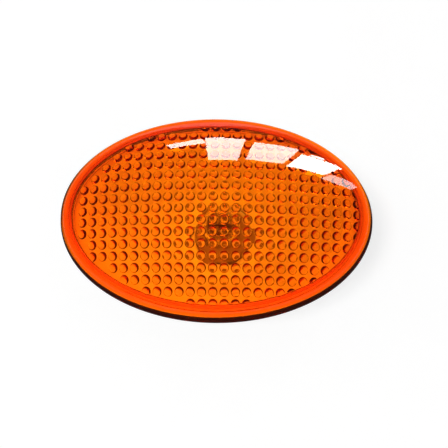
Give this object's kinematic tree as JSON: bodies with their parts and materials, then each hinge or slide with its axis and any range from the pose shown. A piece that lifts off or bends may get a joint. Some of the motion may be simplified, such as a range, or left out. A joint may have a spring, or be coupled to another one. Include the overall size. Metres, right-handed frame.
{
  "type": "fender turn signal lamp",
  "caption": "Oval fender turn signal with a domed amber lenslet cover on a moulded bowl housing, closed from behind by a twist-lock bulb holder.",
  "frame": {"origin": "on the ground below the middle of the lens, where the plug end of the bulb holder stands", "axes": "+Z out through the middle of the lens, X along the oval's long way with the leaf spring at +X, Y along its short way"},
  "size_m": [0.082, 0.0542, 0.05],
  "materials": {
    "amber_lens": "clear amber moulding, polished outside, lenslets inside",
    "housing_plastic": "light moulded plastic, satin",
    "gasket_rubber": "soft black rubber",
    "spring_steel": "plain spring strip",
    "holder_nylon": "black moulded nylon",
    "seal_silicone": "matt silicone",
    "contact_brass": "stamped sheet",
    "clear_glass": "clear blown glass",
    "lead_wire": "drawn wire"
  },
  "bodies": {
    "root": {"lens": "amber_lens", "housing": "housing_plastic", "gasket": "gasket_rubber", "retaining_clip": "spring_steel", "bulb_holder": "holder_nylon", "holder_seal": "seal_silicone", "contact_left": "contact_brass", "contact_right": "contact_brass", "bulb_glass": "clear_glass", "bulb_filament": "lead_wire"}
  },
  "joints": []
}
